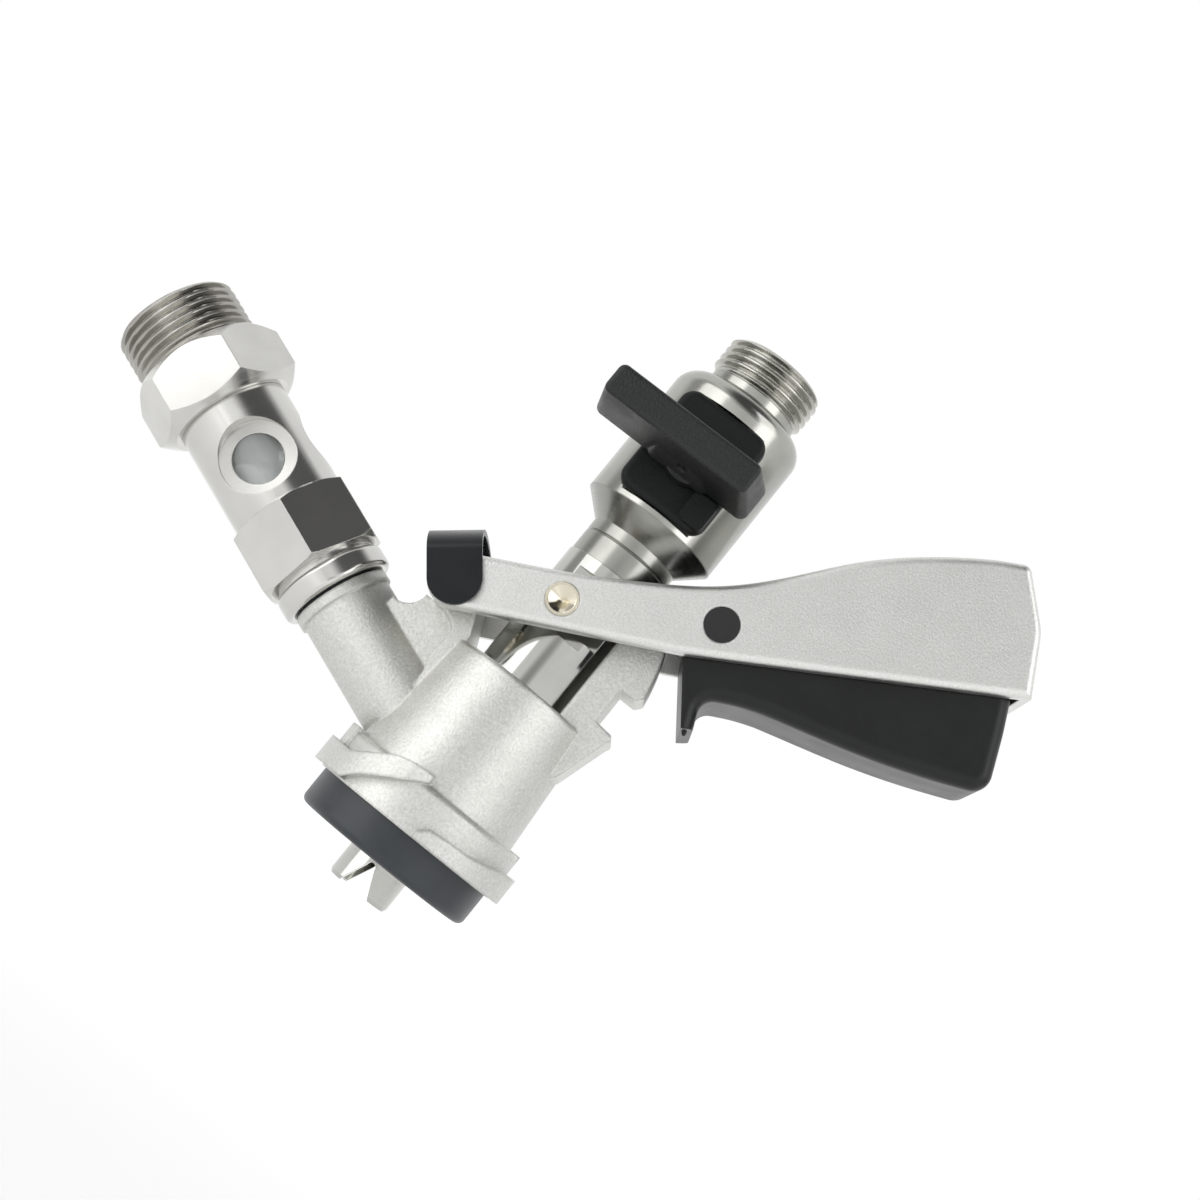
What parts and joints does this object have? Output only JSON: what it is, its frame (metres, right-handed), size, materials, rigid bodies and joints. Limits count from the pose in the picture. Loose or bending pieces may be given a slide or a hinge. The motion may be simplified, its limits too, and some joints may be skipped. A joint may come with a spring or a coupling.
{
  "type": "keg coupler",
  "caption": "Lever-operated keg coupler: bayonet casting, forked sliding probe, squeeze-grip lever, angled gas inlet with sight glass, and a ball shut-off valve below the threaded beer outlet.",
  "frame": {"origin": "centre of the casting's keg-side face, on the probe's axis", "axes": "+Z along the probe towards the beer outlet, +X towards the lever's handle, gas inlet towards -X and +Z"},
  "size_m": [0.1965, 0.0563, 0.1378],
  "materials": {
    "cast_steel": "bead-blasted stainless casting",
    "turned_steel": "turned and polished stainless",
    "spring_steel": "spring wire",
    "black_steel": "blackened steel",
    "seal_rubber": "moulded rubber, blue-black",
    "black_plastic": "moulded black plastic with a fine grain",
    "white_plastic": "machined white plastic",
    "sight_glass": "clear tube"
  },
  "bodies": {
    "body": {"coupler_body": "cast_steel", "upper_seal": "seal_rubber", "body_seal": "seal_rubber", "hinge_pin": "turned_steel", "gas_washer": "seal_rubber", "gas_collar": "turned_steel", "sight_body": "turned_steel", "sight_glass": "sight_glass", "sight_seal_lower": "seal_rubber", "sight_seal_upper": "seal_rubber", "gas_nipple": "turned_steel", "gas_check_seat": "white_plastic", "gas_check_spring": "spring_steel"},
    "gas_check": {"gas_check_poppet": "white_plastic"},
    "slider": {"probe": "turned_steel", "probe_lip_seal": "seal_rubber", "ball_stop": "white_plastic", "valve_adapter": "turned_steel", "valve_body": "turned_steel", "outlet_nipple": "turned_steel", "lower_ball_seat": "white_plastic", "upper_ball_seat": "white_plastic", "stem_seal": "seal_rubber", "knob_plate": "black_plastic"},
    "check": {"check_ball": "turned_steel"},
    "knob": {"valve_ball": "turned_steel", "valve_stem": "turned_steel", "valve_knob": "black_plastic", "knob_pin": "turned_steel"},
    "lever": {"lever": "cast_steel", "hinge_cap": "black_plastic", "drive_pin_front": "turned_steel", "drive_pin_back": "turned_steel", "trigger_pin": "black_steel", "trigger_spring": "spring_steel"},
    "trigger": {"trigger": "black_plastic"}
  },
  "joints": [
    {"name": "lever_hinge", "type": "hinge", "parent": "body", "child": "lever", "pos_m": [-0.0219, 0, 0.0445], "axis": [0, 1, 0], "range_deg": [0, 28.4]},
    {"name": "probe_slide", "type": "slide", "parent": "body", "child": "slider", "axis": [0, 0, -1], "range_m": [0, 0.01031]},
    {"name": "trigger_pivot", "type": "hinge", "parent": "lever", "child": "trigger", "pos_m": [0.02499, 0, 0.06985], "axis": [0, -1, 0], "range_deg": [0, 10], "stiffness_Nm_per_rad": 0.5, "springref_deg": -20.05},
    {"name": "valve_turn", "type": "hinge", "parent": "slider", "child": "knob", "pos_m": [0, 0, 0.0927], "axis": [0, -1, 0], "range_deg": [0, 90]},
    {"name": "check_lift", "type": "slide", "parent": "slider", "child": "check", "axis": [0, 0, 1], "range_m": [0, 0.005]},
    {"name": "gas_check_lift", "type": "slide", "parent": "body", "child": "gas_check", "axis": [0.9385, 0, -0.3453], "range_m": [0, 0.003], "stiffness_N_per_m": 150, "springref_m": -0.004, "deforming": ["gas_check_spring"]}
  ],
  "couplings": [
    {"joint": "probe_slide", "follows": "lever_hinge", "m_per_rad": 0.02078}
  ]
}
